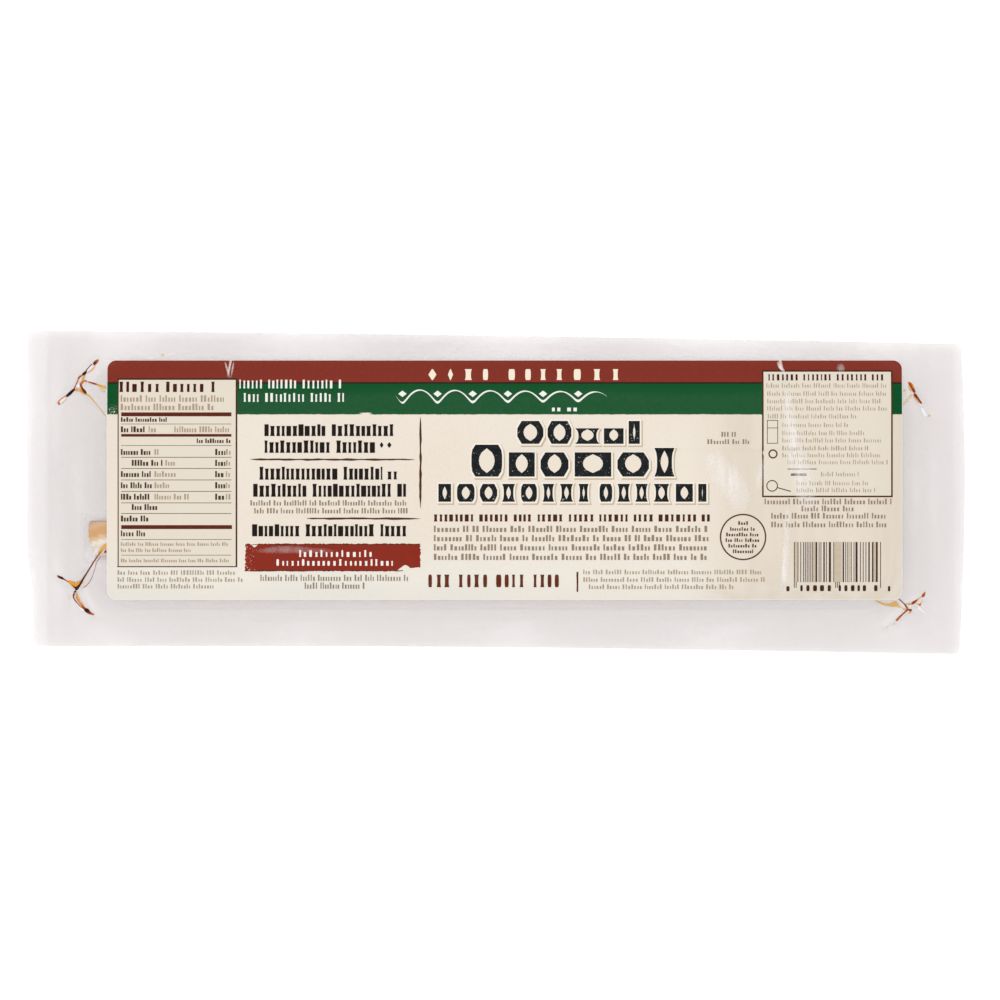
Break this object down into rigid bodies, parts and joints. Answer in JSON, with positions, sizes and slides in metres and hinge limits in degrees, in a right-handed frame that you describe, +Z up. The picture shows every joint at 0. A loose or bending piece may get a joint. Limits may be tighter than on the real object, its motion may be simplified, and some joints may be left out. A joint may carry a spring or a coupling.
{
  "type": "vacuum pack of sliced bacon",
  "caption": "Long flat vacuum pack of sliced bacon: clear sealed film pouch with a thin welded rim and puckered corners, and a wide paper label on its upper side.",
  "frame": {"origin": "on the surface that the pack lies on, under the middle of its box", "axes": "+X along the pack's length, to the right as the label faces the viewer; +Y across it, towards the label's banded edge; +Z up, out of the label"},
  "size_m": [0.3361, 0.116, 0.0167],
  "materials": {
    "clear_film": "clear flexible pouch film over sliced bacon, glossy and slightly hazy",
    "label_paper": "satin printed paper, cream with a brown and a green band"
  },
  "bodies": {
    "root": {"film_pack": "clear_film", "label": "label_paper"}
  },
  "joints": []
}
